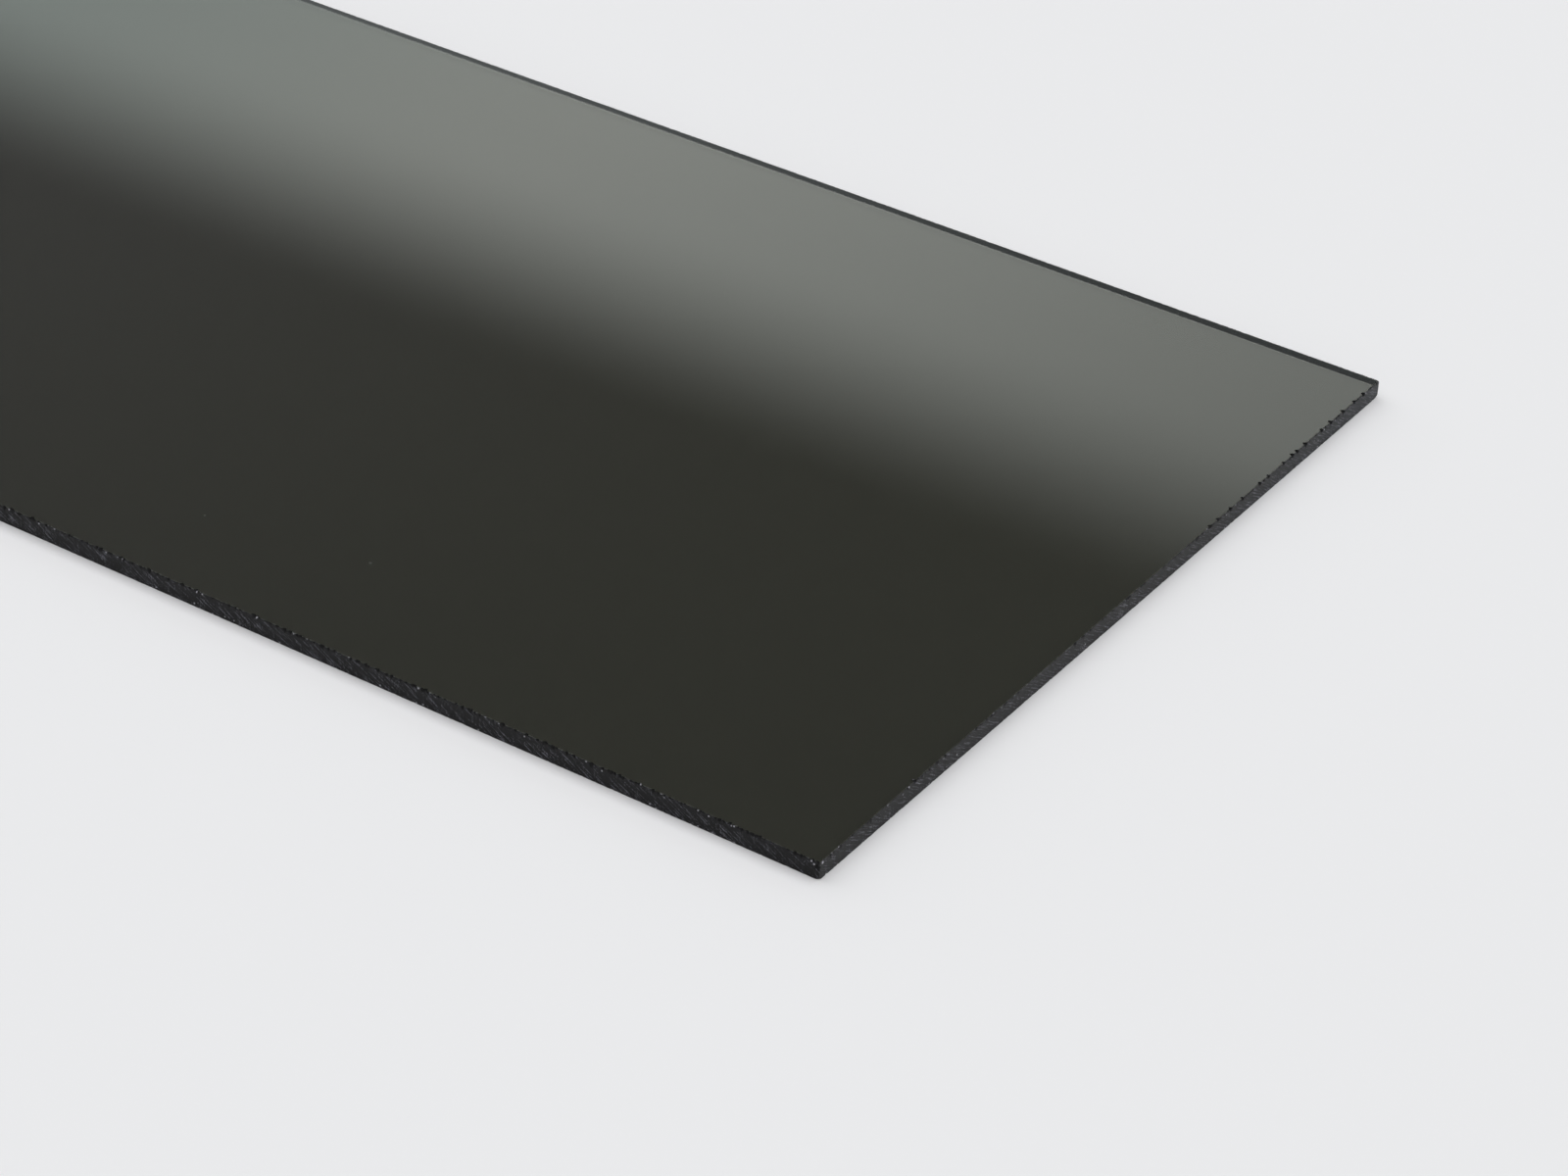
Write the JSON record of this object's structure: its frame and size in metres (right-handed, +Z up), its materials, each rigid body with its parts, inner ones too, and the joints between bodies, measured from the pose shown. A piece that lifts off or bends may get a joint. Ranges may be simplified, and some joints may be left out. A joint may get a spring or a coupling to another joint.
{
  "type": "tinted acrylic sheet",
  "caption": "Flat rectangular sheet of smoke-tinted transparent acrylic with polished faces and plain saw-cut edges, lightly chipped along the arrises.",
  "frame": {"origin": "centre of the lower face, on the surface that the sheet lies on", "axes": "+X along the sheet's length, towards its chipped end; +Z up, out of the upper face; +Y across the width"},
  "size_m": [0.3048, 0.1524, 0.0028],
  "materials": {
    "smoke_acrylic": "cast acrylic tinted smoke grey, polished both faces, edges left as sawn"
  },
  "bodies": {
    "root": {"sheet": "smoke_acrylic"}
  },
  "joints": []
}
